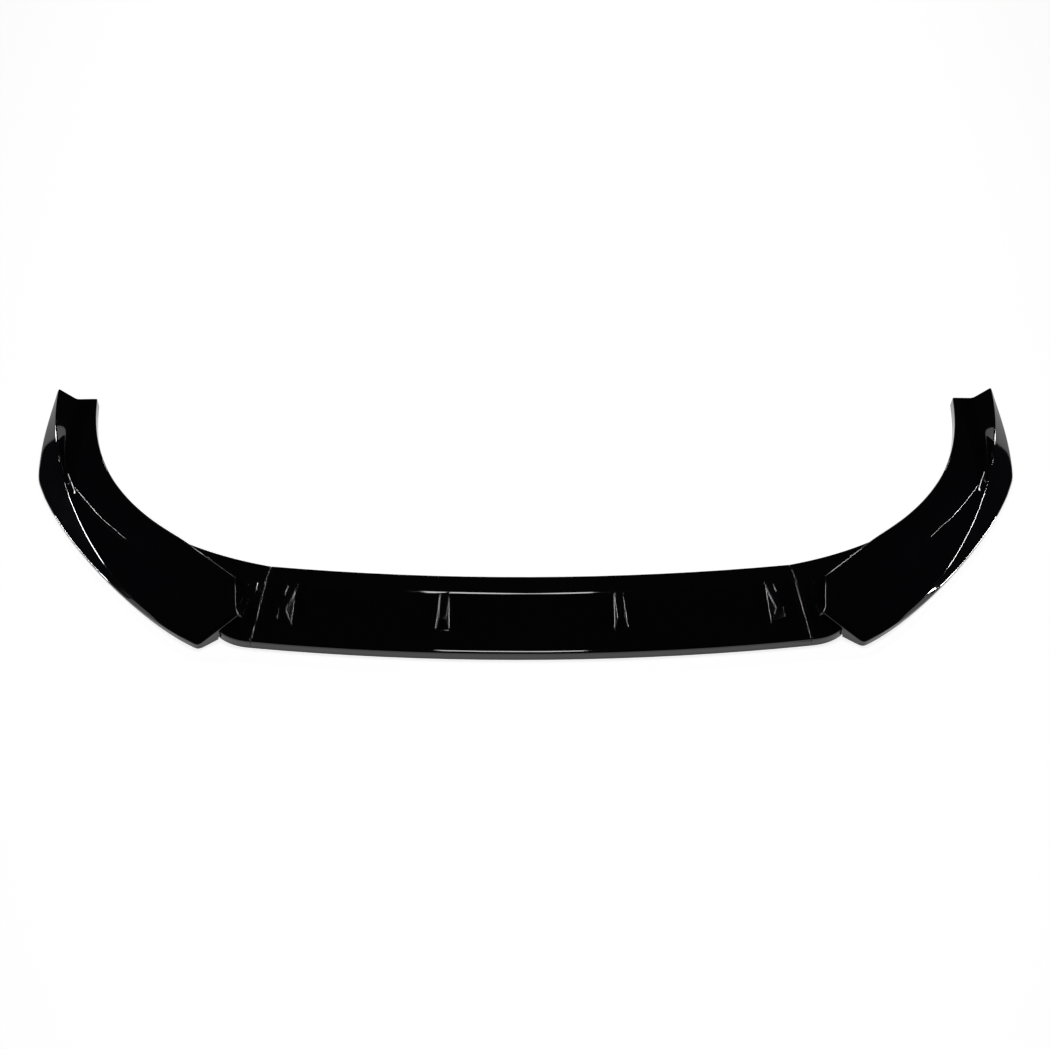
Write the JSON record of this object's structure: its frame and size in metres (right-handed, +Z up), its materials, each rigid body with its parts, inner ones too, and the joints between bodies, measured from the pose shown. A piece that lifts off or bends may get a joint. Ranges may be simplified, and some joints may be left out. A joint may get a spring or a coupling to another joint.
{
  "type": "front splitter lip",
  "caption": "Gloss black front splitter lip for a car: a finned centre panel with connecting panels and swept winglets that wrap round the bumper's corners.",
  "frame": {"origin": "middle of the part's box in plan, on the plane of its lowest edges, where it rests", "axes": "+X across the car towards the lip's right as seen from the front, -Y forwards in the direction of travel, +Z up"},
  "size_m": [1.8036, 0.5619, 0.0548],
  "materials": {
    "gloss_black_abs": "injection-moulded ABS in deep gloss black",
    "zinc_steel": "bright zinc-plated steel"
  },
  "bodies": {
    "root": {"centre_panel": "gloss_black_abs", "left_connector": "gloss_black_abs", "right_connector": "gloss_black_abs", "left_winglet": "gloss_black_abs", "right_winglet": "gloss_black_abs", "seam_bolts": "zinc_steel", "seam_washers": "zinc_steel", "seam_nuts": "zinc_steel", "winglet_screws": "zinc_steel", "winglet_washers": "zinc_steel"}
  },
  "joints": []
}
